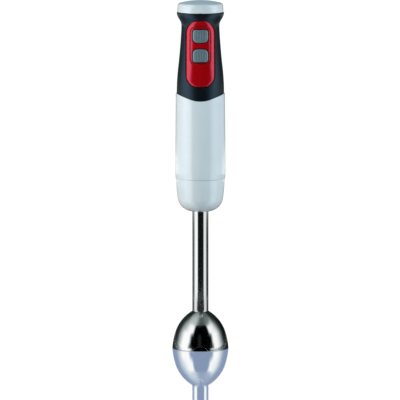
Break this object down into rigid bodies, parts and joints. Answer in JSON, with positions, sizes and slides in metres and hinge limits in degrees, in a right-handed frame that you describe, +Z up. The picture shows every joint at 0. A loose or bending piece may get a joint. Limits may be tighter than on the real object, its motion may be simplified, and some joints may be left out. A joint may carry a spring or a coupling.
{
  "type": "immersion blender",
  "caption": "Hand blender: white motor body, black grip with red control panel and ribbed buttons, turning top dial, and a push-fit steel foot with a notched bell over the blade.",
  "frame": {"origin": "centre of the blade guard's rim, which the blender stands on", "axes": "+Z up the drive axis to the dial; -Y is the front, where the buttons are; +X is to the right seen from the front"},
  "size_m": [0.063, 0.0624, 0.39],
  "materials": {
    "polished_steel": "mirror-polished stainless steel",
    "white_plastic": "satin-gloss white plastic",
    "black_plastic": "soft-touch matt black",
    "red_gloss": "high-gloss deep red plastic",
    "button_grey": "ribbed satin grey plastic",
    "dial_grey": "satin light grey plastic",
    "dial_cap_grey": "satin mid grey plastic",
    "inner_plastic": "moulded grey plastic",
    "rubber_black": "matt rubber",
    "machined_steel": "turned and ground steel",
    "lamination_steel": "stacked laminations",
    "copper": "lacquered copper",
    "brass": "sintered or drawn brass",
    "carbon": "pressed carbon",
    "board": "printed circuit board",
    "board_parts": "mixed electronic components"
  },
  "bodies": {
    "motor_unit": {"foot_socket": "inner_plastic", "body_shell": "white_plastic", "grip_front": "black_plastic", "grip_rear": "black_plastic", "control_panel": "red_gloss", "button_surround": "red_gloss", "circuit_board": "board", "microswitches": "board_parts", "board_components": "board_parts", "speed_potentiometer": "inner_plastic", "dial_deck": "inner_plastic", "cord_gland": "rubber_black", "cord_clamp": "inner_plastic", "motor_mount_ring": "rubber_black", "lower_bracket": "machined_steel", "upper_bracket": "machined_steel", "lower_bearing": "machined_steel", "upper_bearing": "machined_steel", "motor_bolts": "machined_steel", "stator_core": "lamination_steel", "field_coils": "copper", "brush_holders": "brass", "carbon_brushes": "carbon", "brush_springs": "brass", "speed_dome": "rubber_black", "turbo_dome": "rubber_black"},
    "dial": {"speed_dial": "dial_grey", "dial_disc": "dial_cap_grey", "dial_spindle": "inner_plastic"},
    "upper_button": {"speed_button": "button_grey"},
    "lower_button": {"turbo_button": "button_grey"},
    "rotor": {"armature_shaft": "machined_steel", "armature_core": "lamination_steel", "armature_windings": "copper", "commutator": "copper", "cooling_fan": "inner_plastic", "drive_dog": "inner_plastic"},
    "foot": {"blade_guard": "polished_steel", "stem_tube": "polished_steel", "foot_collar": "white_plastic", "foot_spigot": "inner_plastic", "foot_seal_ring": "rubber_black", "bearing_carrier": "inner_plastic", "lower_bush": "brass", "upper_bush": "brass", "shaft_seal": "rubber_black"},
    "blade_shaft": {"drive_shaft": "machined_steel", "coupling_star": "inner_plastic", "blade": "machined_steel", "blade_nut": "machined_steel", "thrust_washer": "machined_steel"}
  },
  "joints": [
    {"name": "dial_turn", "type": "hinge", "parent": "motor_unit", "child": "dial", "pos_m": [0, 0, 0.377], "axis": [0, 0, 1], "range_deg": [0, 270]},
    {"name": "speed_press", "type": "slide", "parent": "motor_unit", "child": "upper_button", "axis": [0, 1, 0], "range_m": [0, 0.002], "stiffness_N_per_m": 1000, "springref_m": -0.002, "deforming": ["speed_dome"]},
    {"name": "turbo_press", "type": "slide", "parent": "motor_unit", "child": "lower_button", "axis": [0, 1, 0], "range_m": [0, 0.002], "stiffness_N_per_m": 1000, "springref_m": -0.002, "deforming": ["turbo_dome"]},
    {"name": "motor_spin", "type": "hinge", "parent": "motor_unit", "child": "rotor", "pos_m": [0, 0, 0.2544], "axis": [0, 0, 1], "continuous": true},
    {"name": "foot_release", "type": "slide", "parent": "motor_unit", "child": "foot", "axis": [0, 0, -1], "range_m": [0, 0.05]},
    {"name": "blade_spin", "type": "hinge", "parent": "foot", "child": "blade_shaft", "pos_m": [0, 0, 0.0154], "axis": [0, 0, 1], "continuous": true}
  ],
  "couplings": [
    {"joint": "blade_spin", "follows": "motor_spin", "ratio": 1}
  ]
}
